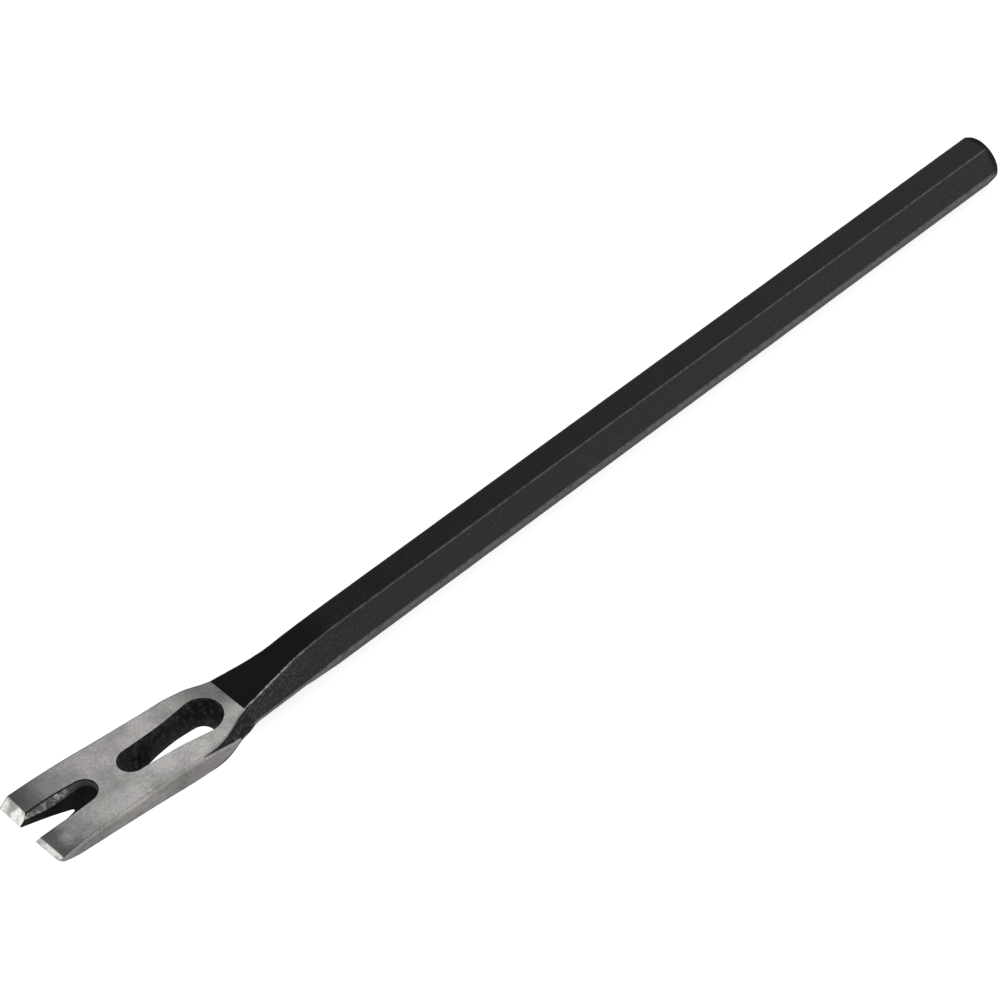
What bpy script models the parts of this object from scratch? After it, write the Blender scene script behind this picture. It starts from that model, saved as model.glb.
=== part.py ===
"""Hex-shank ripping bar: a nail-pulling claw blade forged and ground on the end of a hexagon bar.

Frame, in metres: +X runs from the cutting edge to the struck end, +Z is up, and the bar lies on the
lowest flat of its hexagon at z = 0. X = 0 is the middle of the length, Y = 0 the middle of the bar.
Shapes are worked out in millimetres, with "along" measured from the grind line, where the bare
ground blade meets the painted neck: negative towards the cutting edge, positive up the shank.
"""

import math

import bmesh
import bpy
from mathutils import Matrix, Vector

MM = 0.001

# Driving dimensions
TOTAL_LENGTH = 457.2  # an 18 in tool
HEX_FLATS = 19.05  # 3/4 in bar, across flats
BLADE_LENGTH = 85.0  # grind line to the foremost corner of the cutting edges
SPLIT_GAP = 0.3  # space between the blade solid and the shank solid
NECK_END = 42.0  # along, where the full hexagon begins
TIP_HALF_WIDTH = 18.2
CORNER_RADIUS = {1: 0.6, -1: 2.2}  # side of Y: plan radius on the outer corner of the tine
EDGE_LAND = 0.6  # flat left on the cutting edges
EDGE_BREAK = 0.4  # small chamfer along the long edges of the blade
HEX_SIDE_LAND = 0.45  # half height of the blunted side corners of the hexagon
BUTT_CHAMFER = 1.2  # how far the turned chamfer cuts into the corners of the struck end
BUTT_SLOPE = 1.9  # run of that chamfer along the bar for each unit inwards

HEX_HALF = HEX_FLATS / 2
HEX_SIDE = HEX_FLATS / math.sqrt(3)  # a side of the hexagon, also its corner radius
HEX_SIDE_WIDTH = HEX_SIDE - HEX_SIDE_LAND / math.sqrt(3)
GRIND_X = BLADE_LENGTH - TOTAL_LENGTH / 2
BUTT = TOTAL_LENGTH - BLADE_LENGTH
TIP = -BLADE_LENGTH

# Heights above the bar's axis: the blade's flat top at the cutting edge, as it would meet it
# without the end bevel, and (along, height) for the top of the neck and for the whole bottom face
TOP_AT_TIP = 12.1
NECK_TOP = [(0, 5.8), (10, 6.6), (20, 7.6), (30, 8.8), (NECK_END, HEX_HALF)]
BOTTOM = [
    (TIP, 7.5), (-60, 3.9), (-28, -1.3), (-12, -3.4), (0, -4.85), (10, -6.0), (20, -7.6),
    (30, -9.1), (NECK_END, -HEX_HALF),
]
# (along, half width) of the top and bottom faces, of the bottom in the neck, and of the whole bar
FACE_WIDTH = [
    (TIP, TIP_HALF_WIDTH), (-56, 17.3), (-44, 16.7), (-28, 16.2), (-22, 15.9), (-16.7, 15.4),
    (-12, 14.4), (-9, 13.4), (-6.5, 12.3), (-4, 11.1), (-2, 10.2), (0, 9.7), (6, 8.7), (15, 7.1),
    (25, 6.0), (NECK_END, HEX_SIDE / 2),
]
UNDER_WIDTH = [
    (-4, 11.1), (0, 8.8), (5, 7.0), (10, 6.0), (15, 5.5), (22, 5.1), (30, 5.2),
    (NECK_END, HEX_SIDE / 2),
]
SIDE_WIDTH = [
    (TIP, TIP_HALF_WIDTH), (-56, 17.3), (-44, 16.7), (-28, 16.2), (-11, 15.9), (-7, 15.4),
    (-3, 14.5), (1, 12.7), (5, 11.7), (10, 11.2), (NECK_END, HEX_SIDE_WIDTH),
]
# (along, half height) of the upright side face, which narrows to a corner in the neck, and how far
# that corner lies below half height
SIDE_HEIGHT = [(-25, 4.1), (-17.4, 3.1), (-13.2, 2.2), (-10, 1.2), (-7.5, HEX_SIDE_LAND)]
SIDE_DROP = [(-6, 0), (2, 1.2), (8, 1.8), (18, 1.3), (NECK_END, 0)]

# The ends of the two tines are ground by hand, so they differ a little
DUB_START = -64.0  # from here the top face falls away towards the cutting edge
DUB_DROP = {1: 1.0, -1: 1.9}  # side of Y: how far it has fallen at the cutting edge
BEVEL_START = {1: -80.9, -1: -82.9}  # side of Y: along, where the end bevel begins
RISE_START = -74.0  # from here the bottom face of one tine rises towards the cutting edge
UNDER_RISE = {1: 0.0, -1: 1.5}  # side of Y: how far it has risen there
# side of Y: how far the inner and outer corner of the cutting edge stand behind the foremost one
SETBACK = {1: (0.8, 0.0), -1: (0.9, 2.2)}
SETBACK_REACH = 11.0  # how far back from the cutting edge the slant fades out
INNER_CORNER, OUTER_CORNER = 6.0, 18.0  # their distances from the middle of the blade

# Openings: the arcs at their ends as (along, radius), and (along, half width) between them
SLOT_TOP = ((-12.6, 8.3), [(-19, 7.2), (-25, 6.35), (-33, 5.8)], (-40.6, 5.5))
SLOT_BOTTOM = ((-14.3, 4.7), [(-20, 4.6), (-25, 4.0), (-30, 2.9)], (-35.6, 1.2))
NOTCH_TOP = ((-61.2, 5.4), [(-66, 5.8), (-72, 6.2), (-78, 6.5), (-92, 6.6)], None)
NOTCH_KNEE = ((-61.4, 4.9), [(-68, 4.6), (-73, 4.3), (-78, 4.7), (-92, 6.2)], None)
NOTCH_BOTTOM = ((-66.9, 0.5), [(-71.5, 2.0), (-75.5, 3.1), (-84.2, 5.0), (-92, 7.0)], None)
KNEE_DEPTH = [(TIP, 2.1), (-78, 2.6), (-70, 3.2), (-64, 3.4), (-56, 2.6)]  # below the top face
SKEW_START, SKEW_THERE, SKEW_RATE = -12.6, -0.35, -0.016  # the openings lie a little askew

ARC_STEPS = 9
SIDE_STEPS = 10
CORNER_STEPS = 3
CUT_MARGIN = 4.0  # how far a cutter stands out past the metal


def curve(points):
    """Smooth monotone curve through (along, value) points, as a function of along."""
    points = sorted(points)
    slopes = [(b[1] - a[1]) / (b[0] - a[0]) for a, b in zip(points, points[1:])]
    tangents = [slopes[0]]
    for before, after in zip(slopes, slopes[1:]):
        level = before * after <= 0
        tangents.append(0 if level else 2 * before * after / (before + after))
    tangents.append(slopes[-1])

    def value(along):
        along = min(max(along, points[0][0]), points[-1][0])
        i = max(k for k in range(len(points) - 1) if points[k][0] <= along)
        (x0, y0), (x1, y1) = points[i], points[i + 1]
        t = (along - x0) / (x1 - x0)
        bend = (1 - t) * tangents[i] - t * tangents[i + 1]
        return y0 + (y1 - y0) * (3 - 2 * t) * t * t + t * (1 - t) * (x1 - x0) * bend

    return value


neck_top = curve(NECK_TOP)
bottom_line = curve(BOTTOM)
face_width = curve(FACE_WIDTH)
under_width = curve(UNDER_WIDTH)
side_width = curve(SIDE_WIDTH)
side_height = curve(SIDE_HEIGHT)
side_drop = curve(SIDE_DROP)
knee_depth = curve(KNEE_DEPTH)


def top_line(along):
    """Height of the top face: straight along the ground blade, then the curve of the neck."""
    if along > 0:
        return neck_top(along)
    return neck_top(0) + (TOP_AT_TIP - neck_top(0)) * along / TIP


def top_height(along, side):
    """Height of the top face, with the dubbed end and the end bevel of the tine on that side."""
    fall = max(0.0, (DUB_START - along) / (DUB_START - TIP))
    height = top_line(along) - DUB_DROP[side] * fall**2
    if along >= BEVEL_START[side]:
        return height
    start = top_height(BEVEL_START[side], side)
    end = bottom_height(TIP, side) + EDGE_LAND
    return end + (start - end) * (along - TIP) / (BEVEL_START[side] - TIP)


def bottom_height(along, side):
    """Height of the bottom face, which is dressed a little on one of the tines."""
    rise = max(0.0, (RISE_START - along) / (RISE_START - TIP))
    return bottom_line(along) + UNDER_RISE[side] * rise**2


def setback(along, side, across):
    """How far a point of the blade stands back because the cutting edge is ground at a slant."""
    share = min(max((abs(across) - INNER_CORNER) / (OUTER_CORNER - INNER_CORNER), 0.0), 1.0)
    inner, outer = SETBACK[side]
    fade = max(0.0, 1 - (along - TIP) / SETBACK_REACH)
    return (inner + (outer - inner) * share) * fade


def rounded(corners, cut):
    """A closed outline with every corner replaced by a short curve."""
    outline = []
    for i, corner in enumerate(corners):
        arms = []
        for other in (corners[i - 1], corners[(i + 1) % len(corners)]):
            arm = other - corner
            arms.append(corner + arm.normalized() * min(cut, 0.48 * arm.length))
        for step in range(CORNER_STEPS):
            t = step / (CORNER_STEPS - 1)
            outline.append(arms[0].lerp(corner, t).lerp(corner.lerp(arms[1], t), t))
    return outline


def section(along_by_side):
    """One ring of the bar, going round from the top face, with its own along on each side of Y."""
    corners = []
    for side in (1, -1):
        along = along_by_side[side]
        top = top_height(along, side)
        bottom = bottom_height(along, side)
        half = (top - bottom) / 2
        edge_break = min(EDGE_BREAK, 0.4 * half)
        radius = CORNER_RADIUS[side]
        into_corner = max(0.0, radius - (along - TIP))
        lost = radius - math.sqrt(radius**2 - into_corner**2)
        wide = side_width(along) - lost
        flat = min(face_width(along), wide - edge_break)
        under = flat if along < UNDER_WIDTH[0][0] else under_width(along)
        upright = min(side_height(along), half - edge_break)
        middle = bottom + half - side_drop(along)
        quarter = [
            (0.3 * flat, top), (flat, top), (wide, middle + upright),
            (wide, middle - upright), (under, bottom), (0.3 * under, bottom),
        ]
        quarter = [Vector((side * y, z)) for y, z in quarter]
        corners += quarter if side == 1 else quarter[::-1]
    ring = []
    for point in rounded(corners, 0.7 if along_by_side[1] > 0 else 0.45):
        side = 1 if point.x > 0 else -1
        along = along_by_side[side]
        x = GRIND_X + along + setback(along, side, point.x)
        ring.append((x, point.x, HEX_HALF + point.y))
    return ring


def loft(name, rings, collection, material=None):
    """A closed body through rings of (x, y, z) millimetre points, all with the same count."""
    mesh = bmesh.new()
    loops = [[mesh.verts.new(Vector(p) * MM) for p in ring] for ring in rings]
    count = len(loops[0])
    for first, second in zip(loops, loops[1:]):
        for i in range(count):
            j = (i + 1) % count
            mesh.faces.new((first[i], first[j], second[j], second[i]))
    mesh.faces.new(loops[0])
    mesh.faces.new(loops[-1])
    bmesh.ops.recalc_face_normals(mesh, faces=mesh.faces)
    return add_object(name, mesh, collection, material)


def add_object(name, mesh, collection, material=None):
    data = bpy.data.meshes.new(name)
    mesh.to_mesh(data)
    mesh.free()
    thing = bpy.data.objects.new(name, data)
    collection.objects.link(thing)
    if material:
        data.materials.append(material)
        data.shade_smooth()
        data.set_sharp_from_angle(angle=math.radians(25))
    return thing


def opening_outline(shape):
    """Points round an opening in plan: back arc, one side, front arc or mouth, other side."""
    (back, back_radius), waist, front = shape
    half = []
    for step in range(ARC_STEPS):
        angle = math.pi / 2 * step / ARC_STEPS
        half.append((back + back_radius * math.cos(angle), back_radius * math.sin(angle)))
    last = front[0] if front else waist[-1][0]
    side = curve([(back, back_radius)] + waist + ([front] if front else []))
    for step in range(SIDE_STEPS + 1):
        along = back + (last - back) * step / SIDE_STEPS
        half.append((along, side(along)))
    if front:
        for step in range(1, ARC_STEPS + 1):
            angle = math.pi / 2 * step / ARC_STEPS
            half.append((last - front[1] * math.sin(angle), front[1] * math.cos(angle)))
    mirrored = [(along, -across) for along, across in half[::-1] if across > 1e-6]
    return [point for point in half if point[1] > -1e-6] + mirrored


def flared(first, second, rise):
    """The ring above first on the lines from second through first, so the walls keep their slope."""
    out = []
    for a, b in zip(first, second):
        a, b = Vector(a), Vector(b)
        out.append(a + (a - b) * rise / (a.z - b.z))
    return out


def opening_cutter(name, levels, cutters):
    """A tapered plug through the blade; levels are (outline, height as a function of along)."""
    rings = []
    for shape, height in levels:
        ring = []
        for along, across in opening_outline(shape):
            skew = SKEW_THERE + SKEW_RATE * (along - SKEW_START)
            ring.append((GRIND_X + along, across + skew, HEX_HALF + height(along)))
        rings.append(ring)
    below = [(x, y, z - CUT_MARGIN) for x, y, z in rings[-1]]
    rings = [flared(rings[0], rings[1], CUT_MARGIN)] + rings + [below]
    return loft(name, rings, cutters)


def butt_cutter(name, cutters):
    """A turned ring round the struck end, whose cone chamfers the corners of the hexagon."""
    end = GRIND_X + BUTT
    run = BUTT_CHAMFER * BUTT_SLOPE
    outer = HEX_SIDE + CUT_MARGIN
    beyond = CUT_MARGIN / BUTT_SLOPE
    profile = [
        (end - run, HEX_SIDE_WIDTH),
        (end + CUT_MARGIN, HEX_SIDE_WIDTH - BUTT_CHAMFER - beyond),
        (end + CUT_MARGIN, outer),
        (end - run, outer),
    ]
    mesh = bmesh.new()
    verts = [mesh.verts.new(Vector((x, radius, 0)) * MM) for x, radius in profile]
    edges = [mesh.edges.new((verts[i - 1], verts[i])) for i in range(len(verts))]
    bmesh.ops.spin(
        mesh, geom=verts + edges, axis=(1, 0, 0), cent=(0, 0, 0), angle=2 * math.pi, steps=48
    )
    bmesh.ops.remove_doubles(mesh, verts=mesh.verts, dist=1e-6)
    bmesh.ops.recalc_face_normals(mesh, faces=mesh.faces)
    bmesh.ops.transform(
        mesh, verts=mesh.verts, matrix=Matrix.Translation((0, 0, HEX_HALF * MM))
    )
    return add_object(name, mesh, cutters)


def cut(thing, cutters):
    for cutter in cutters.objects:
        cutter.hide_render = True
        cutter.display_type = "WIRE"
    boolean = thing.modifiers.new(cutters.name, "BOOLEAN")
    boolean.operation = "DIFFERENCE"
    boolean.solver = "EXACT"
    boolean.operand_type = "COLLECTION"
    boolean.collection = cutters


def finish_material(name, colour, roughness, metallic):
    material = bpy.data.materials.new(name)
    material.use_nodes = True
    shader = material.node_tree.nodes["Principled BSDF"]
    shader.inputs["Base Color"].default_value = (*colour, 1)
    shader.inputs["Roughness"].default_value = roughness
    shader.inputs["Metallic"].default_value = metallic
    material.diffuse_color = (*colour, 1)
    return material


def blade_stations():
    """Along, on each side of Y, of the rings of the blade from the cutting edge to the split."""
    stations = []
    for share in (0, 0.05, 0.15, 0.3, 0.5, 0.75, 1):
        stations.append({side: TIP + share * (BEVEL_START[side] - TIP) for side in (1, -1)})
    plain = [-79, -76, -73, -70, -67, DUB_START, -56, -44, -34, -28, -24, -22, -20, -18, -16]
    plain += [-14.5, -13, -11.5, -10, -8.5, -7, -6, -5, -4, -3, -2, -1, -SPLIT_GAP / 2]
    return stations + [{1: along, -1: along} for along in plain]


def shank_stations():
    plain = [SPLIT_GAP / 2, 1, 2, 3.5, 5, 7.5, 10, 13, 16, 20, 24, 28, 32, 36, NECK_END, BUTT]
    return [{1: along, -1: along} for along in plain]


def claw_blade(parts, cutters):
    steel = finish_material("ground_steel", (0.52, 0.52, 0.50), 0.34, 1.0)
    rings = [section(station) for station in blade_stations()]
    blade = loft("claw_blade", rings, parts, steel)
    slot = [(SLOT_TOP, top_line), (SLOT_BOTTOM, bottom_line)]
    notch = [
        (NOTCH_TOP, top_line),
        (NOTCH_KNEE, lambda along: top_line(along) - knee_depth(along)),
        (NOTCH_BOTTOM, bottom_line),
    ]
    opening_cutter("nail_slot_cutter", slot, cutters)
    opening_cutter("nail_notch_cutter", notch, cutters)
    cut(blade, cutters)


def hex_shank(parts, cutters):
    paint = finish_material("black_paint", (0.022, 0.022, 0.024), 0.5, 0.0)
    rings = [section(station) for station in shank_stations()]
    shank = loft("hex_shank", rings, parts, paint)
    butt_cutter("butt_chamfer_cutter", cutters)
    cut(shank, cutters)


def new_collection(name):
    collection = bpy.data.collections.new(name)
    bpy.context.scene.collection.children.link(collection)
    return collection


def main():
    for thing in list(bpy.data.objects):
        bpy.data.objects.remove(thing, do_unlink=True)
    parts = new_collection("pry_bar")
    claw_blade(parts, new_collection("blade_cutters"))
    hex_shank(parts, new_collection("shank_cutters"))


main()
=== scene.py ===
import math

import bmesh
import bpy
from mathutils import Matrix, Vector, noise


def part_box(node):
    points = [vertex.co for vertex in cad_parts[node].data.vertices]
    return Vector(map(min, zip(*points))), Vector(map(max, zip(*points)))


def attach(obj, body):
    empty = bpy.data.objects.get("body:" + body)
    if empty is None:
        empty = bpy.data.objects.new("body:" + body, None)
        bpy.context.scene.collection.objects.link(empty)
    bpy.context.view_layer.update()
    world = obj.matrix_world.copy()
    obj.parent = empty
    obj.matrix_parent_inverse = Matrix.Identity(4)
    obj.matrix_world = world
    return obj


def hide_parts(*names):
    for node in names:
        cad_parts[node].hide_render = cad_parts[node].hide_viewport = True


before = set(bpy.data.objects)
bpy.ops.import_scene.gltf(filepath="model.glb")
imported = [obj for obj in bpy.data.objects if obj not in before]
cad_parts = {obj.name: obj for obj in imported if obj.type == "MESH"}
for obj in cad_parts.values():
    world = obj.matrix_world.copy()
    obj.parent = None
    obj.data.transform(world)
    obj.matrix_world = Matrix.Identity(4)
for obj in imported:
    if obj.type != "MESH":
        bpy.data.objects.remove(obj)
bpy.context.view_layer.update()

# An 18 in ripping bar lying on a pale floor: a black hexagon shank with a bare ground claw blade.
# Shapes are worked out in millimetres. "Along" is measured from the grind line, where the bare blade
# meets the painted neck: negative towards the cutting edge, positive up the shank. Heights are above
# the axis of the bar, and a side is 1 for the tine on +Y and -1 for the other.
mm = 0.001
bladeLow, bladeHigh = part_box("claw_blade")
shankLow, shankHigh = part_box("hex_shank")
grindX = (bladeHigh.x + shankLow.x) / 2 / mm
tip = bladeLow.x / mm - grindX
butt = shankHigh.x / mm - grindX
hexHalf = (shankHigh.z - shankLow.z) / 2 / mm
hexSide = 2 * hexHalf / math.sqrt(3)


class Wire:
    # an output of a shader node, used in sums; without a socket it only starts new nodes
    def __init__(self, tree, socket=None):
        self.tree = tree
        self.socket = socket

    def node(self, kind, settings=None, inputs=None, output=0):
        made = self.tree.nodes.new(kind)
        for name, value in (settings or {}).items():
            setattr(made, name, value)
        for key, value in (inputs or {}).items():
            if isinstance(value, Wire):
                self.tree.links.new(value.socket, made.inputs[key])
            else:
                made.inputs[key].default_value = value
        return Wire(self.tree, made.outputs[output])

    def math(self, operation, *values):
        return self.node("ShaderNodeMath", {"operation": operation}, dict(enumerate(values)))

    def __add__(self, other):
        return self.math("ADD", self, other)

    __radd__ = __add__

    def __sub__(self, other):
        return self.math("SUBTRACT", self, other)

    def __rsub__(self, other):
        return self.math("SUBTRACT", other, self)

    def __mul__(self, other):
        return self.math("MULTIPLY", self, other)

    __rmul__ = __mul__

    def __truediv__(self, other):
        return self.math("DIVIDE", self, other)

    def step(self, low, high):
        # 0 at low and 1 at high, smooth in between; low may be the larger
        return self.node(
            "ShaderNodeMapRange",
            {"interpolation_type": "SMOOTHSTEP"},
            {"Value": self, "From Min": low, "From Max": high},
        )

    def stretched(self, x, y, z):
        # a place times a number for each direction
        return self.node(
            "ShaderNodeVectorMath", {"operation": "MULTIPLY"}, {0: self, 1: (x, y, z)}
        )

    def grain(self, scale, detail=2.0, rough=0.5):
        return self.node(
            "ShaderNodeTexNoise",
            {"noise_dimensions": "3D"},
            {"Vector": self, "Scale": scale, "Detail": detail, "Roughness": rough},
        )

    def part(self, axis):
        return self.node("ShaderNodeSeparateXYZ", {}, {0: self}, axis)

    def mixed(self, first, second):
        # a colour between two others, by this factor
        return self.node(
            "ShaderNodeMix", {"data_type": "RGBA"}, {0: self, 6: first, 7: second}, 2
        )

    def size(self):
        # the value without its sign
        return self.math("ABSOLUTE", self)

    def bumped(self, strength, distance):
        inputs = {"Height": self, "Strength": strength, "Distance": distance}
        return self.node("ShaderNodeBump", {}, inputs)


def newFinish(name, constants):
    # a material with one Principled shader; returns it, its shader and a first wire
    finish = bpy.data.materials.new(name)
    finish.use_nodes = True
    shader = finish.node_tree.nodes["Principled BSDF"]
    for socket, value in constants.items():
        shader.inputs[socket].default_value = value
    return finish, shader, Wire(finish.node_tree)


def plug(shader, wires):
    for socket, wire in wires.items():
        wire.tree.links.new(wire.socket, shader.inputs[socket])


def newPiece(name, mesh, finishes):
    # an object from a finished bmesh, with its faces turned outwards
    if mesh.calc_volume(signed=True) < 0:
        bmesh.ops.reverse_faces(mesh, faces=mesh.faces)
    data = bpy.data.meshes.new(name)
    mesh.to_mesh(data)
    mesh.free()
    for finish in finishes:
        data.materials.append(finish)
    piece = bpy.data.objects.new(name, data)
    bpy.context.scene.collection.objects.link(piece)
    return piece


cameraView = {
    "lookAt": (-0.01703, 0.00393, 0.0095),
    "distance": 1.0610,
    "turned": 30.05,  # degrees from +Y towards +X
    "down": 46.84,
    "roll": -13.31,
    "lens": 104.685,
    "clip": (0.01, 60),
}


def makeCamera(view):
    turned, down = math.radians(view["turned"]), math.radians(view["down"])
    level = Vector((math.sin(turned), math.cos(turned), 0))
    forward = level * math.cos(down) - Vector((0, 0, math.sin(down)))
    upright = forward.to_track_quat("-Z", "Y").to_matrix()
    spin = Matrix.Rotation(math.radians(view["roll"]), 3, -forward)
    place = (spin @ upright).to_4x4()
    place.translation = Vector(view["lookAt"]) - forward * view["distance"]
    data = bpy.data.cameras.new("camera")
    data.lens = view["lens"]
    data.clip_start, data.clip_end = view["clip"]
    camera = bpy.data.objects.new("camera", data)
    camera.matrix_world = place
    bpy.context.scene.collection.objects.link(camera)
    bpy.context.scene.camera = camera


studio = {
    "floorSize": 24.0,
    "floorDrop": 0.05,  # millimetres below the bar, so that the two never share a face
    "floorShade": 0.60,
    "floorRoughness": 0.9,
    "floorShine": 0.2,
    "floorGlow": 0.80,
    "airShade": (0.97, 0.98, 1.0),
    "airLevel": 0.34,
    # name: where it stands seen from the bar, its distance, its two sides, its brightness
    "softboxes": {
        "farRight": ((0.66, 0.50, 0.56), 2.4, (2.1, 1.65), 0.92),
        "nearLow": ((0.32, -0.93, 0.17), 1.8, (2.2, 0.55), 2.7),
        "overhead": ((0.34, -0.36, 0.87), 1.6, (1.2, 0.4), 3.0),
        "farLeft": ((-0.72, 0.52, 0.46), 1.6, (1.0, 0.8), 1.6),
    },
}


def makeStudio(values):
    size = values["floorSize"] / 2
    mesh = bmesh.new()
    corners = [(-size, -size), (size, -size), (size, size), (-size, size)]
    height = -values["floorDrop"] * mm
    mesh.faces.new([mesh.verts.new((x, y, height)) for x, y in corners])
    floor = newPiece("studio_floor", mesh, [])
    finish, shader, _ = newFinish(
        "pale_floor",
        {
            "Base Color": (values["floorShade"],) * 3 + (1,),
            "Roughness": values["floorRoughness"],
            "Specular IOR Level": values["floorShine"],
            "Emission Color": (1, 1, 1, 1),
            "Emission Strength": values["floorGlow"],
        },
    )
    floor.data.materials.append(finish)

    world = bpy.data.worlds.new("studio_air")
    world.use_nodes = True
    air = world.node_tree.nodes["Background"]
    air.inputs["Color"].default_value = (*values["airShade"], 1)
    air.inputs["Strength"].default_value = values["airLevel"]
    bpy.context.scene.world = world

    for name, (toward, distance, sides, level) in values["softboxes"].items():
        light = bpy.data.lights.new(name, "AREA")
        light.shape = "RECTANGLE"
        light.size, light.size_y = sides
        light.energy = level * math.pi * sides[0] * sides[1]
        box = bpy.data.objects.new(name, light)
        toward = Vector(toward).normalized()
        box.location = toward * distance
        box.rotation_euler = toward.to_track_quat("Z", "Y").to_euler()
        box.visible_camera = False
        bpy.context.scene.collection.objects.link(box)
    bpy.context.scene.view_settings.view_transform = "Standard"


steelLook = {
    "dark": (0.035, 0.034, 0.033),
    "warm": (0.730, 0.700, 0.680),
    "cool": (0.662, 0.676, 0.636),
    "roughness": 0.31,
    "grazing": (0.45, 0.45, 0.45, 1),  # unpolished steel mirrors less at a flat angle
    "sides": 0.66,  # how bright the upright sides are beside the top face: a duller finish, and partly painted shade
    "dressed": 0.34,  # how bright the hand-dressed tine ends are beside the rest: painted shade where their top falls away
    "dressedFrom": {1: (-60, -77), -1: (-73, -79)},
    "stainFrom": (-19, -7),  # tempering stain behind the slot
    "stainAcross": (-8, 4),  # it is full on this side and faint on the other
    "stainFaint": 0.3,
    "stainDepth": 0.42,
    # which way a face points to count as the end bevel, the top or a side
    "bevelFaces": (-0.18, -0.32),
    "topFaces": (0.84, 0.95),
    "sideFaces": (0.55, 0.8),
    # grain per metre along, across and up: the belt lines run across the top and along the sides
    "lines": (1500, 260, 500),
    "scratches": (600, 60, 300),
    "sideLines": (70, 300, 2200),
    "specks": 1100.0,
    "mottle": 105.0,
    "clouds": 42.0,
    # how bright the steel is, and how much of that each grain takes away
    "bright": 0.84,
    "lineDepth": 0.14,
    "scratchDepth": 0.08,
    "speckDepth": 0.8,
    "mottleDepth": 0.26,
    "cloudDepth": 0.18,
    "sideLineDepth": 0.5,
    "nearSideSheen": 0.18,  # a painted sheen: how much brighter the top is towards -Y
    "sheenFrom": (3, -12),
    "bevelMottle": 0.8,
    "bevelGain": 0.35,
    "edgeShadeDepth": 0.45,  # how much darker the edges and the upright sides are: painted shade
    "ragged": (9, 10),  # how far the mottle and the clouds push the boundaries of the patches
    "bump": (0.35, 0.05),  # strength, and depth in millimetres
}


def groundSteel(look):
    constants = {"Metallic": 1.0, "Specular Tint": look["grazing"]}
    finish, shader, start = newFinish("ground_steel", constants)
    place = start.node("ShaderNodeTexCoord", output=3)
    along = place.part(0) / mm - grindX
    across = place.part(1) / mm
    facing = start.node("ShaderNodeNewGeometry", output=1)
    onBevel = facing.part(0).step(*look["bevelFaces"]) * facing.part(2).step(0.2, 0.4)
    onTop = facing.part(2).step(*look["topFaces"]) * (1 - onBevel)
    onSide = facing.part(1).size().step(*look["sideFaces"])

    lines = place.stretched(*look["lines"]).grain(1.0, 3.0, 0.6)
    scratches = place.stretched(*look["scratches"]).grain(1.0, 2.0, 0.6)
    sideLines = place.stretched(*look["sideLines"]).grain(1.0, 3.0, 0.6)
    specks = place.grain(look["specks"], 2.0, 0.6)
    mottle = place.grain(look["mottle"], 4.0, 0.62)
    clouds = place.grain(look["clouds"], 2.0)

    tone = look["bright"] + (lines - 0.5) * look["lineDepth"]
    tone = tone + (scratches - 0.5) * look["scratchDepth"] + (specks - 0.5) * look["speckDepth"]
    depth = look["mottleDepth"]
    tone = tone * (1 - depth + mottle.step(0.28, 0.60) * depth)
    depth = look["cloudDepth"]
    tone = tone * (1 - depth + clouds.step(0.36, 0.6) * depth)
    # painted sheen: the top is brighter towards -Y
    tone = tone * (1 + across.step(*look["sheenFrom"]) * onTop * look["nearSideSheen"])

    # the hand-dressed tine ends, painted darker as shade where the top falls away, and the stain,
    # each with a ragged boundary; left is the tine on +Y
    byMottle, byClouds = look["ragged"]
    ragged = along + (mottle - 0.5) * byMottle + (clouds - 0.5) * byClouds
    left = across.step(-0.5, 0.5)
    shadedEnds = left * ragged.step(*look["dressedFrom"][1])
    shadedEnds = shadedEnds + (1 - left) * ragged.step(*look["dressedFrom"][-1])
    tone = tone * (1 - shadedEnds * onTop * (1 - look["dressed"]))
    faint = look["stainFaint"]
    stainShare = faint + across.step(*look["stainAcross"]) * (1 - faint)
    stain = ragged.step(*look["stainFrom"]) * onTop * stainShare
    tone = tone * (1 - stain * (look["stainDepth"] + clouds * 0.4))

    # the sides are duller than the top and partly painted darker as shade, the end bevels brighter,
    # and the edges painted darker as shade
    dullShadedSides = 1 - onSide * (1 - look["sides"] - (sideLines - 0.5) * look["sideLineDepth"])
    edgeWearAndLight = start.node("ShaderNodeAttribute", {"attribute_name": "edge"}, output=2)
    bevelGrain = (mottle.step(0.35, 0.62) - 0.62) * look["bevelMottle"]
    tone = tone * dullShadedSides * (1 + onBevel * bevelGrain)
    # painted shade: the edges and the upright sides are darker
    tone = tone * (1 + onBevel * look["bevelGain"]) * (1 - edgeWearAndLight * look["edgeShadeDepth"])
    colour = clouds.step(0.40, 0.58).mixed((*look["cool"], 1), (*look["warm"], 1))
    colour = tone.mixed((*look["dark"], 1), colour)
    roughness = look["roughness"] + (lines - 0.5) * 0.16 + onSide * 0.08
    roughness = roughness + (1 - mottle.step(0.3, 0.6)) * 0.08 + shadedEnds * 0.05
    height = lines * 0.25 + mottle * 0.5 + specks * 0.25
    strength, depth = look["bump"]
    normal = height.bumped(strength, depth * mm)
    plug(shader, {"Base Color": colour, "Roughness": roughness, "Normal": normal})
    return finish


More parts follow.
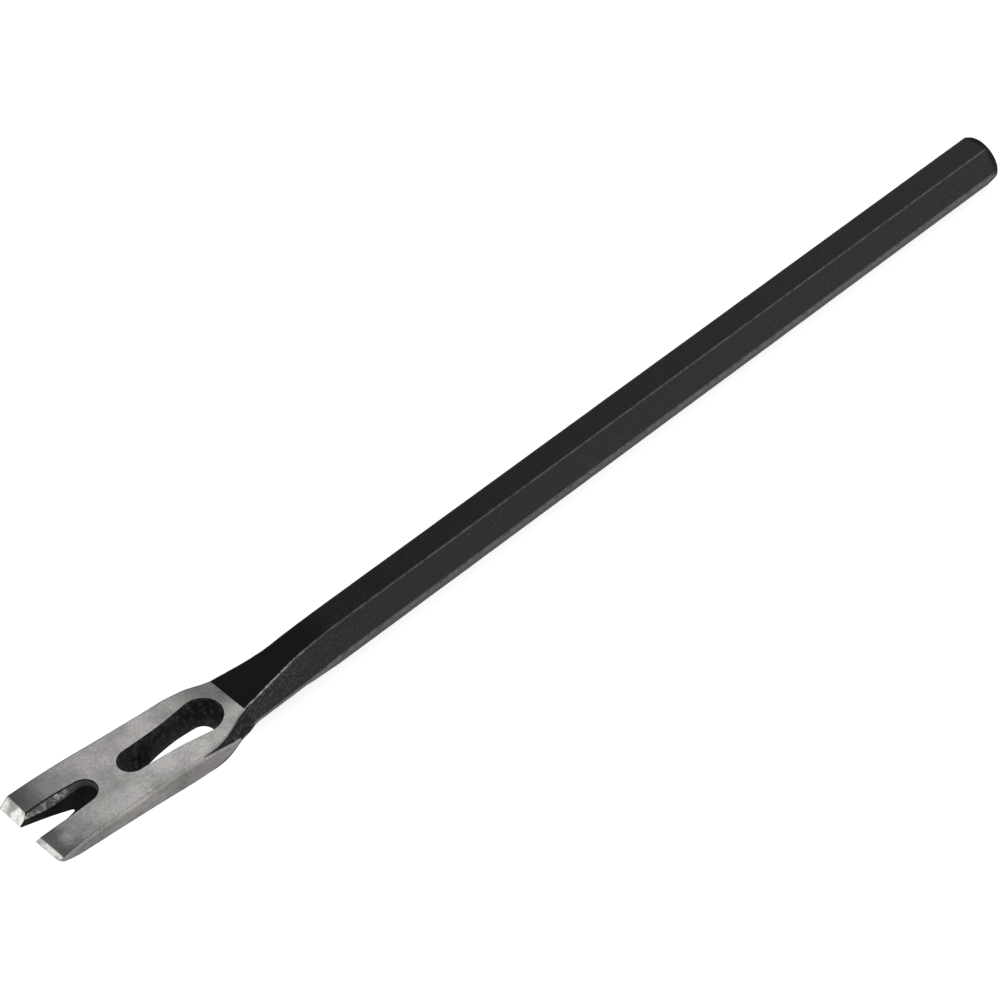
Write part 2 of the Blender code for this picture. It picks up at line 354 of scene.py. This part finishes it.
paintLook = {
    "shade": (0.0040, 0.0040, 0.0038),
    "bluish": (0.0044, 0.0042, 0.0068),
    "speckle": (0.040, 0.040, 0.041),
    # the colour of the worn edges: wear, and partly a painted highlight
    "edgeWearAndLight": (0.11, 0.11, 0.112),
    "bare": (0.45, 0.45, 0.46),  # glints along the edges of the neck: bare steel, and partly a painted highlight
    "roughness": 0.42,
    "shine": 0.19,
    "neck": (50, 28),  # from here down to the blade the top of the paint is smoother, and painted blacker as shade
    "forgedFrom": (46, 4),  # from here down to the blade the other faces of the neck are rougher
    "glintsFrom": (40, 6),
    # grain per metre
    "skin": 1300.0,
    "dimples": 430.0,
    "patches": 60.0,
    "bump": (0.6, 0.14),  # strength, and depth in millimetres
    "wearEnds": (1.5, 4),  # how far short of the struck end the worn edges and their painted highlight stop
    "endFace": (2.7, 2.2),  # the chamfer and face of the struck end, which are duller
}


def blackPaint(look):
    finish, shader, start = newFinish("black_paint", {"Specular IOR Level": look["shine"]})
    place = start.node("ShaderNodeTexCoord", output=3)
    along = place.part(0) / mm - grindX
    facing = start.node("ShaderNodeNewGeometry", output=1)
    upward = facing.part(2)
    onTop = upward.step(0.90, 0.97)
    skin = place.grain(look["skin"], 2.0, 0.6)
    dimples = place.grain(look["dimples"], 3.0, 0.6)
    patches = place.grain(look["patches"], 2.0)
    edge = start.node("ShaderNodeAttribute", {"attribute_name": "edge"}, output=2)

    # specks of forge scale, dense on the upper faces of the neck
    # the top of the neck is smoother and has no specks: painted shade
    smooth = along.step(*look["neck"]) * onTop
    rough = along.step(*look["forgedFrom"]) * (1 - onTop)
    high = (place.part(2) / mm - hexHalf).step(0, 7)
    dense = 0.2 + patches.step(0.4, 0.65) * 0.3 + rough * (high * 1.2 + 0.8)
    specks = skin.step(0.53, 0.66) * dense
    ground = patches.step(0.46, 0.60).mixed((*look["shade"], 1), (*look["bluish"], 1))
    colour = (specks * (1 - smooth)).mixed(ground, (*look["speckle"], 1))

    # worn edges, lighter from wear and partly as a painted highlight along the corners, with bare
    # glints on the neck's upper ones that are painted highlights as well as bare steel
    wearAndHighlight = edge * (0.35 + 0.5 * place.grain(500.0, 3.0).step(0.30, 0.65)) * (1 + rough * 1.2)
    wearAndHighlight = wearAndHighlight * along.step(*[butt - short for short in look["wearEnds"]])
    colour = wearAndHighlight.mixed(colour, (*look["edgeWearAndLight"], 1))
    glints = edge * along.step(*look["glintsFrom"]) * upward.step(0.45, 0.65)
    glints = glints * skin.step(0.42, 0.6)
    colour = glints.mixed(colour, (*look["bare"], 1))

    roughness = look["roughness"] + (skin - 0.5) * 0.2 + (patches - 0.5) * 0.1 - smooth * 0.24
    endFace = along.step(*[butt - short for short in look["endFace"]])
    roughness = roughness + upward.step(-0.2, -0.4) * 0.16 + endFace * 0.3
    height = (skin * 0.6 + dimples * 0.5) * (0.5 + rough * 2.4) * (1 - smooth * 0.8)
    strength, depth = look["bump"]
    normal = height.bumped(strength, depth * mm)
    plug(shader, {"Base Color": colour, "Roughness": roughness, "Normal": normal})
    return finish


# black forge scale in the openings; the scuffed one is the grey upper wall of the notch, scuffed and
# partly painted lighter as lit from above
forgedLook = {
    "forged": {
        "shade": (0.0050, 0.0050, 0.0043),
        "speckle": (0.085, 0.086, 0.074),
        "cover": 0.7,
        "fadeOver": (-50, -58),  # the lower wall of the notch has fewer specks than the slot
        "fade": 0.85,
    },
    "scuffedAndLit": {
        "shade": (0.100, 0.100, 0.098),
        "speckle": (0.66, 0.66, 0.64),
        "cover": 1.0,
        "fadeOver": (-67, -59),  # the scuffs and their painted light stop short of the notch's round end
        "fade": 1.0,
    },
}
scaleGrain = {
    "roughness": 0.58,
    "shine": 0.16,
    # grain per metre
    "skin": 560.0,
    "grit": 1400.0,
    "patches": 600.0,
    "bump": (0.8, 0.16),  # strength, and depth in millimetres
}


def forgedSkin(name, look, scale):
    finish, shader, start = newFinish(name + "_skin", {"Specular IOR Level": scale["shine"]})
    place = start.node("ShaderNodeTexCoord", output=3)
    along = place.part(0) / mm - grindX
    skin = place.grain(scale["skin"], 4.0, 0.65)
    grit = place.grain(scale["grit"], 2.0, 0.5)
    patches = place.grain(scale["patches"], 2.0)
    specks = skin.step(0.42, 0.70) * (0.15 + patches.step(0.38, 0.62) * 0.85) * look["cover"]
    specks = specks * (1 - along.step(*look["fadeOver"]) * look["fade"])
    colour = specks.mixed((*look["shade"], 1), (*look["speckle"], 1))
    roughness = scale["roughness"] + (skin - 0.5) * 0.3
    height = skin * 0.9 + grit * 0.3
    strength, depth = scale["bump"]
    normal = height.bumped(strength, depth * mm)
    plug(shader, {"Base Color": colour, "Roughness": roughness, "Normal": normal})
    return finish


barShape = {
    "topAtTip": 12.1,  # height where the blade's flat top would meet the cutting edge
    "neckTop": [(0, 5.8), (10, 6.6), (20, 7.6), (30, 8.8), (42, hexHalf)],
    "bottom": [
        (tip, 7.5), (-60, 3.9), (-28, -1.3), (-12, -3.4), (0, -4.85), (10, -6.0), (20, -7.6),
        (30, -9.1), (42, -hexHalf),
    ],
    # half width of the top and bottom faces, and of the whole blade
    "faceWidth": [
        (tip, 18.2), (-56, 17.3), (-44, 16.7), (-28, 16.2), (-22, 15.9), (-16.7, 15.4),
        (-12, 14.4), (-9, 13.4), (-6.5, 12.3), (-4, 11.1), (-2, 10.2), (0, 9.7), (6, 8.7),
        (15, 7.1), (25, 6.0), (42, hexSide / 2),
    ],
    "sideWidth": [
        (tip, 18.2), (-56, 17.3), (-44, 16.7), (-28, 16.2), (-11, 15.9), (-7, 15.4),
        (-3, 14.5), (1, 12.7), (5, 11.7), (10, 11.2), (42, hexSide - 0.26),
    ],
    # half width of the bottom face, which from here on is narrower than the top face
    "underFrom": -4.0,
    "underWidth": [
        (-4, 11.1), (0, 8.8), (5, 7.0), (10, 6.0), (15, 5.5), (22, 5.1), (30, 5.2),
        (42, hexSide / 2),
    ],
    # half height of the upright side face, which narrows to a corner in the neck
    "sideHeight": [(-25, 4.1), (-17.4, 3.1), (-13.2, 2.2), (-10, 1.2), (-7.5, 0.45)],
    # how far the side corners lie below half height
    "sideDrop": [(-6, 0), (2, 1.2), (8, 1.8), (18, 1.3), (42, 0)],
    "dubStart": -64.0,  # from here the top face falls away towards the cutting edge
    "dubDrop": {1: 1.0, -1: 1.9},  # how far it has fallen at the cutting edge
    "bevelStart": {1: -80.9, -1: -82.9},
    "edgeLand": 0.6,
    "tineCorner": {1: 0.6, -1: 2.2},  # plan radius on the outer corners of the tines
    "underRise": {1: 0.0, -1: 1.5},  # how far the bottom face has risen at the cutting edge
    "underStart": -74.0,
    # how far the inner and the outer corner of each cutting edge stand behind the foremost one
    "setback": {1: (0.8, 0.0), -1: (0.9, 2.2)},
    "setbackReach": 11.0,
    "innerCorner": 6.0,
    "outerCorner": 18.0,
    # the forging wanders a little to the sides, and its grind line is askew
    "wander": [
        (tip, 0), (-60, 0), (-40, -0.2), (-25, -0.4), (-15, -0.3), (-7, 0.35), (0, 0.9), (8, 0.45),
        (20, 0.1), (42, 0),
    ],
    "grindSkew": -0.06,
    "grindSkewReach": 9.0,
    "edgeBreak": 0.4,
    "edgeRound": [(tip, 0.35), (-2, 0.4), (14, 0.55), (butt, 0.6)],
    "buttChamfer": 1.2,
    "buttSlope": 1.9,
    "buttConeEnd": 0.5,  # how far short of the end face the cone stops
    "buttEasing": [(0.15, 0.05), (0.0, 0.35)],  # short of the end face and in from the chamfer
    # paint is left on the shoulders and on the side faces from here on
    "paintedShoulders": -22.5,
    "paintedSides": -7.4,
    # unevenness as (height, size): everywhere, on the neck and shank, and the forged skin, which
    # is strongest at one place and dies out at a distance from it
    "swell": (0.035, 8.0),
    "shankSwell": (0.020, 2.3),
    "forgedSwell": (0.10, 1.6),
    "forgedAt": 4.0,
    "forgedReach": 34.0,
    # stations: the two tines share them from here on, and they lie closer from the slot's waist to
    # the end of the neck and in the last stretch of the shank
    "levelAt": -79.0,
    "fineFrom": -26.0,
    "neckEnd": 48.0,
    "endStretch": 6.0,
    # corners above this many degrees are shaded sharp
    "bladeSharp": 20,
    "shankSharp": 27,
}


def curve(points):
    # smooth monotone curve through (along, value) points, as a function of along
    slopes = [(b[1] - a[1]) / (b[0] - a[0]) for a, b in zip(points, points[1:])]
    tangents = [slopes[0]]
    for before, after in zip(slopes, slopes[1:]):
        level = before * after <= 0
        tangents.append(0 if level else 2 * before * after / (before + after))
    tangents.append(slopes[-1])

    def value(along):
        along = min(max(along, points[0][0]), points[-1][0])
        i = max(k for k in range(len(points) - 1) if points[k][0] <= along)
        (x0, y0), (x1, y1) = points[i], points[i + 1]
        t = (along - x0) / (x1 - x0)
        bend = (1 - t) * tangents[i] - t * tangents[i + 1]
        return y0 + (y1 - y0) * (3 - 2 * t) * t * t + t * (1 - t) * (x1 - x0) * bend

    return value


neckTop = curve(barShape["neckTop"])
bottomLine = curve(barShape["bottom"])
faceWidth = curve(barShape["faceWidth"])
underWidth = curve(barShape["underWidth"])
sideWidth = curve(barShape["sideWidth"])
sideHeight = curve(barShape["sideHeight"])
sideDrop = curve(barShape["sideDrop"])
edgeRound = curve(barShape["edgeRound"])
wander = curve(barShape["wander"])


def topLine(along):
    # straight along the ground blade, then along the curve of the neck
    if along > 0:
        return neckTop(along)
    return neckTop(0) + (barShape["topAtTip"] - neckTop(0)) * along / tip


def topHeight(along, side):
    # the top face with the dubbed end and the end bevel of the tine on that side
    fall = max(0.0, (barShape["dubStart"] - along) / (barShape["dubStart"] - tip))
    height = topLine(along) - barShape["dubDrop"][side] * fall**2
    start = barShape["bevelStart"][side]
    if along >= start:
        return height
    end = bottomHeight(tip, side) + barShape["edgeLand"]
    return end + (topHeight(start, side) - end) * (along - tip) / (start - tip)


def bottomHeight(along, side):
    # the bottom face, which is dressed a little on one of the tines
    start = barShape["underStart"]
    rise = max(0.0, (start - along) / (start - tip))
    return bottomLine(along) + barShape["underRise"][side] * rise**2


def moved(point, side):
    # a point of a section with the slant of the cutting edges, the wander and the skewed grind line
    inner, outer = barShape["setback"][side]
    first, last = barShape["innerCorner"], barShape["outerCorner"]
    share = min(max((abs(point.y) - first) / (last - first), 0.0), 1.0)
    atTip = max(0.0, 1 - (point.x - tip) / barShape["setbackReach"])
    slant = (inner + (outer - inner) * share) * atTip
    near = max(0.0, 1 - abs(point.x) / barShape["grindSkewReach"])
    skew = barShape["grindSkew"] * point.y * near
    return point + Vector((slant + skew, wander(point.x), 0))


# the flats round a section, from the middle of the top towards +Y and on: name and inner points
flatNames = ["top", "shoulder", "side", "underShoulder", "bottom", "bottom"]
flatNames += ["bottom", "underShoulder", "side", "shoulder", "top", "top"]
innerPoints = {
    "top": (0.03, 0.25, 0.5, 0.75, 0.97),
    "bottom": (0.03, 0.25, 0.5, 0.75, 0.97),
    "shoulder": (0.03, 0.1, 0.2, 0.3, 0.4, 0.5, 0.6, 0.7, 0.8, 0.9, 0.97),
    "underShoulder": (0.03, 0.15, 0.3, 0.45, 0.6, 0.75, 0.9, 0.97),
    "side": (0.1, 0.5, 0.9),
}
arcSteps = 4
plainCorners = (0, 5, 6, 11)  # points on the flat top and bottom, which aren't edges
middleShare = 0.3  # of its half width, where such a point stands on the top or bottom
breakShare = 0.4  # of the half height, the most that an edge may break off a side
armShare = 0.45  # of a flat, the most that the round of an edge may take


def section(alongBySide):
    # one ring as (point, name of the strip that starts there); sides may have their own along
    corners = []
    for side in (1, -1):
        along = alongBySide[side]
        top, bottom = topHeight(along, side), bottomHeight(along, side)
        half = (top - bottom) / 2
        middle = bottom + half - sideDrop(along)
        edgeBreak = min(barShape["edgeBreak"], breakShare * half)
        radius = barShape["tineCorner"][side]
        intoCorner = max(0.0, radius - (along - tip))
        lost = radius - math.sqrt(radius**2 - intoCorner**2)
        wide = sideWidth(along) - lost
        flat = min(faceWidth(along), wide - edgeBreak)
        under = flat if along < barShape["underFrom"] else underWidth(along)
        upright = min(sideHeight(along), half - edgeBreak)
        quarter = [
            (middleShare * flat, top), (flat, top), (wide, middle + upright),
            (wide, middle - upright), (under, bottom), (middleShare * under, bottom),
        ]
        quarter = [Vector((along, side * y, z)) for y, z in quarter]
        corners += quarter if side == 1 else quarter[::-1]
    cut = edgeRound(alongBySide[1])
    arcs = []
    for i, corner in enumerate(corners):
        if i in plainCorners:
            arcs.append([corner])
            continue
        arms = []
        for other in (corners[i - 1], corners[(i + 1) % len(corners)]):
            arm = other - corner
            arms.append(corner + arm.normalized() * min(cut, armShare * arm.length))
        arcs.append([
            arms[0].lerp(corner, t).lerp(corner.lerp(arms[1], t), t)
            for t in (step / arcSteps for step in range(arcSteps + 1))
        ])
    ring = []
    for i, arc in enumerate(arcs):
        ring += [(point, "edge") for point in arc[:-1]]
        ring.append((arc[-1], flatNames[i]))
        following = arcs[(i + 1) % len(arcs)][0]
        ring += [(arc[-1].lerp(following, t), flatNames[i]) for t in innerPoints[flatNames[i]]]
    return ring


def unevenness(amount, place):
    height, size = amount
    return height * noise.noise(place / size)


def roughened(point, name):
    # the small unevenness of the hand-ground faces and of the forged skin
    swell = unevenness(barShape["swell"], point)
    if point.x > 0:
        swell += unevenness(barShape["shankSwell"], point)
    if name in ("shoulder", "underShoulder"):
        forging = max(0.0, 1 - abs(point.x - barShape["forgedAt"]) / barShape["forgedReach"])
        swell += forging * unevenness(barShape["forgedSwell"], point)
    outward = Vector((0, point.y, point.z)).normalized()
    return point + outward * swell


def loft(name, stations, finishes, finishOf):
    # a closed body through the sections at those stations
    rings = [section(station) for station in stations]
    mesh = bmesh.new()
    edgeLayer = mesh.verts.layers.float.new("edge")
    loops = []
    for ring in rings:
        loop = []
        for k, (point, strip) in enumerate(ring):
            point = moved(roughened(point, strip), 1 if point.y > 0 else -1)
            vert = mesh.verts.new(Vector((grindX + point.x, point.y, hexHalf + point.z)) * mm)
            # 1 on the edges, 0 where they meet the flats
            onEdge = strip == "edge" and ring[k - 1][1] == "edge"
            vert[edgeLayer] = float(onEdge or strip == "side")
            loop.append(vert)
        loops.append(loop)
    count = len(loops[0])
    for j in range(len(loops) - 1):
        for i in range(count):
            k = (i + 1) % count
            face = mesh.faces.new((loops[j][i], loops[j][k], loops[j + 1][k], loops[j + 1][i]))
            near = [rings[j][(i + n) % count][1] for n in range(-arcSteps, arcSteps + 1)]
            face.material_index = finishOf(rings[j][i][1], near, rings[j][i][0].x)
    mesh.faces.new(loops[0])
    mesh.faces.new(loops[-1])
    bmesh.ops.recalc_face_normals(mesh, faces=mesh.faces)
    return newPiece(name, mesh, finishes)


def carve(piece, cutters):
    # cuts each cutter out of the piece and removes it
    for cutter in cutters:
        boolean = piece.modifiers.new(cutter.name, "BOOLEAN")
        boolean.operation = "DIFFERENCE"
        boolean.solver = "EXACT"
        boolean.object = cutter
    graph = bpy.context.evaluated_depsgraph_get()
    carved = bpy.data.meshes.new_from_object(piece.evaluated_get(graph))
    piece.modifiers.clear()
    piece.data = carved
    for cutter in cutters:
        bpy.data.objects.remove(cutter, do_unlink=True)


# a plan outline: the arc behind as (along, radius), (along, half width) points, the arc in front
openings = {
    "slotTop": ((-12.6, 8.3), [(-19, 7.2), (-25, 6.35), (-33, 5.8)], (-40.6, 5.5)),
    "slotBottom": ((-14.3, 4.7), [(-20, 4.6), (-25, 4.0), (-30, 2.9)], (-35.6, 1.2)),
    "notchTop": ((-61.2, 5.4), [(-66, 5.8), (-72, 6.2), (-78, 6.5), (-92, 6.6)], None),
    "notchKnee": ((-61.4, 4.9), [(-68, 4.6), (-73, 4.3), (-78, 4.7), (-92, 6.2)], None),
    "notchBottom": ((-66.9, 0.5), [(-71.5, 2.0), (-75.5, 3.1), (-84.2, 5.0), (-92, 7.0)], None),
    "kneeDepth": [(tip, 2.1), (-78, 2.6), (-70, 3.2), (-64, 3.4), (-56, 2.6)],  # below the top
    "skewStart": -12.6,  # the openings lie a little askew
    "skewThere": -0.35,
    "skewRate": -0.016,
    "rim": 0.38,  # how far the upper rim is rounded over
    "lowerRim": 0.12,
    "rimShare": 0.3,  # of the blade's thickness, which the rim never exceeds
    "rimTurns": (28, 52, 90),  # degrees
    "arcSteps": 14,
    "sideSteps": 34,
    # how far and how steeply the cutters stand out of the blade
    "lift": 3.0,
    "liftSlope": 1.2,
    "kneeStep": 0.02,  # a knee stays this far below the rim
}


def openingOutline(shape):
    # (along, across) round an opening: arc behind, one side, arc in front or mouth, other side
    (back, radius), waist, front = shape
    steps = openings["arcSteps"]
    half = []
    for step in range(steps):
        angle = math.pi / 2 * step / steps
        half.append((back + radius * math.cos(angle), radius * math.sin(angle)))
    last = front[0] if front else waist[-1][0]
    points = [(back, radius)] + waist + ([front] if front else [])
    side = curve(points[::-1])
    for step in range(openings["sideSteps"] + 1):
        along = back + (last - back) * step / openings["sideSteps"]
        half.append((along, side(along)))
    if front:
        for step in range(1, steps + 1):
            angle = math.pi / 2 * step / steps
            half.append((last - front[1] * math.sin(angle), front[1] * math.cos(angle)))
    # points on the middle line aren't doubled
    tiny = 1e-6
    mirrored = [(along, -across) for along, across in half[::-1] if across > tiny]
    return [point for point in half if point[1] > -tiny] + mirrored


def openingCutter(name, levels, finishes, upper):
    # levels are (outline, height as a function of along), from the top down; upper is the finish
    # of the wall above the middle level
    columns = []
    for column in zip(*[openingOutline(shape) for shape, _ in levels]):
        points = []
        for (along, across), (_, height) in zip(column, levels):
            skew = openings["skewThere"] + openings["skewRate"] * (along - openings["skewStart"])
            points.append(Vector((along, across + skew, height(along))))
        columns.append(points)

    def onWall(points, height):
        # where the wall has that height
        i = 0
        while i < len(points) - 2 and points[i + 1].z > height:
            i += 1
        a, b = points[i], points[i + 1]
        return a + (b - a) * (height - a.z) / (b.z - a.z)

    def outward(k):
        # square to the outline, away from the opening
        before, after = columns[k - 1][0], columns[(k + 1) % len(columns)][0]
        run = (after - before).to_2d().normalized()
        return Vector((run.y, -run.x, 0))

    rimTurns = [math.radians(turn) for turn in openings["rimTurns"]]
    lift, slope = openings["lift"], openings["liftSlope"]
    rings = [[] for _ in range(2 * len(rimTurns) + len(levels))]
    for k, points in enumerate(columns):
        side = 1 if points[0].y > 0 else -1
        surface = topHeight(max(points[0].x, tip), side)
        under = bottomHeight(max(points[-1].x, tip), side)
        rim = min(openings["rim"], openings["rimShare"] * (surface - under))
        out = outward(k)
        column = []
        for turn in rimTurns:
            depth = rim * (1 - math.cos(turn))
            column.append(onWall(points, surface - depth) + out * rim * (1 - math.sin(turn)))
        column.insert(0, column[0] + out * lift / slope + Vector((0, 0, lift)))
        lowest = column[-1].z
        for point in points[1:-1]:
            column.append(onWall(points, min(point.z, lowest - openings["kneeStep"])))
        rim = min(openings["lowerRim"], rim)
        for turn in rimTurns[::-1]:
            depth = rim * (1 - math.cos(turn))
            column.append(onWall(points, under + depth) + out * rim * (1 - math.sin(turn)))
        column.append(column[-1] + out * lift / slope - Vector((0, 0, lift)))
        for ring, point in zip(rings, column):
            ring.append(point)
    mesh = bmesh.new()
    loops = [
        [mesh.verts.new(Vector((grindX + p.x, p.y, hexHalf + p.z)) * mm) for p in ring]
        for ring in rings
    ]
    for band, (first, second) in enumerate(zip(loops, loops[1:])):
        for i in range(len(first)):
            j = (i + 1) % len(first)
            face = mesh.faces.new((first[i], first[j], second[j], second[i]))
            # the band below the rim is the wall down to the knee
            face.material_index = upper if band == len(rimTurns) else 1
    mesh.faces.new(loops[0])
    mesh.faces.new(loops[-1])
    bmesh.ops.recalc_face_normals(mesh, faces=mesh.faces)
    return newPiece(name, mesh, finishes)


def buttCutter():
    # a turned ring round the struck end, whose cone chamfers the corners of the hexagon
    end = grindX + butt
    chamfer, slope = barShape["buttChamfer"], barShape["buttSlope"]
    coneEnd, easing = barShape["buttConeEnd"], barShape["buttEasing"]
    corner = sideWidth(butt)
    inner = corner - chamfer
    margin = 4.0
    profile = [(end - chamfer * slope, corner), (end - coneEnd, inner + coneEnd / slope)]
    profile += [(end - short, inner - deep) for short, deep in easing]
    profile += [
        (end + margin, profile[-1][1] - margin),
        (end + margin, corner + margin),
        (end - chamfer * slope, corner + margin),
    ]
    mesh = bmesh.new()
    verts = [mesh.verts.new(Vector((x, radius, 0)) * mm) for x, radius in profile]
    edges = [mesh.edges.new((verts[i - 1], verts[i])) for i in range(len(verts))]
    bmesh.ops.spin(
        mesh, geom=verts + edges, axis=(1, 0, 0), cent=(0, 0, 0), angle=2 * math.pi, steps=120
    )
    bmesh.ops.remove_doubles(mesh, verts=mesh.verts, dist=1e-6)
    bmesh.ops.recalc_face_normals(mesh, faces=mesh.faces)
    bmesh.ops.translate(mesh, verts=mesh.verts, vec=(0, 0, hexHalf * mm))
    return newPiece("butt_cutter", mesh, [])


def evenSteps(first, last, size):
    count = max(1, round(abs(last - first) / size))
    return [first + (last - first) * step / count for step in range(count + 1)]


def bladeFinish(strip, near, along):
    # 0 is ground steel and 1 is the forged skin; near names the strips round about
    onShoulder = strip in ("shoulder", "underShoulder")
    onSide = strip == "side" or (strip == "edge" and "side" in near)
    painted = onShoulder and along > barShape["paintedShoulders"]
    return 1 if painted or (onSide and along > barShape["paintedSides"]) else 0


def makeBlade(finishes):
    bevel = barShape["bevelStart"]
    level, fine = barShape["levelAt"], barShape["fineFrom"]
    stations = []
    for share in (0, 0.03, 0.1, 0.22, 0.4, 0.6, 0.8, 1):
        stations.append({side: tip + share * (bevel[side] - tip) for side in (1, -1)})
    # the two sides come level again a little way behind the bevels
    for share in (0.1, 0.4, 0.7, 1):
        stations.append({side: bevel[side] + share * (level - bevel[side]) for side in (1, -1)})
    plain = evenSteps(level, fine, 1.5)[1:] + evenSteps(fine, 0, 0.5)[1:]
    stations += [{1: along, -1: along} for along in plain]
    blade = loft("claw_blade_ground", stations, finishes, bladeFinish)
    slot = [(openings["slotTop"], topLine), (openings["slotBottom"], bottomLine)]
    kneeDepth = curve(openings["kneeDepth"])
    notch = [
        (openings["notchTop"], topLine),
        (openings["notchKnee"], lambda along: topLine(along) - kneeDepth(along)),
        (openings["notchBottom"], bottomLine),
    ]
    cutters = [
        openingCutter("slot_cutter", slot, finishes, 1),
        openingCutter("notch_cutter", notch, finishes, 2),
    ]
    carve(blade, cutters)
    return blade


def makeShank(paint):
    # short steps along the neck and at the struck end, longer ones between them
    neckEnd, lastStretch = barShape["neckEnd"], butt - barShape["endStretch"]
    plain = evenSteps(0, neckEnd, 0.8) + evenSteps(neckEnd, lastStretch, 2.0)[1:]
    plain += evenSteps(lastStretch, butt, 0.5)[1:]
    stations = [{1: along, -1: along} for along in plain]
    shank = loft("hex_shank_painted", stations, [paint], lambda strip, near, along: 0)
    carve(shank, [buttCutter()])
    return shank


def settle(piece, node, sharpAngle):
    piece.data.shade_smooth()
    piece.data.set_sharp_from_angle(angle=math.radians(sharpAngle))
    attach(piece, "root")
    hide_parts(node)


makeCamera(cameraView)
makeStudio(studio)
print("camera, floor and light are set")
steel = groundSteel(steelLook)
paint = blackPaint(paintLook)
forged, scuffedAndLit = (forgedSkin(name, look, scaleGrain) for name, look in forgedLook.items())
print("finishes are made")
blade = makeBlade([steel, forged, scuffedAndLit])
settle(blade, "claw_blade", barShape["bladeSharp"])
print("blade:", len(blade.data.polygons), "faces")
shank = makeShank(paint)
settle(shank, "hex_shank", barShape["shankSharp"])
print("shank:", len(shank.data.polygons), "faces")
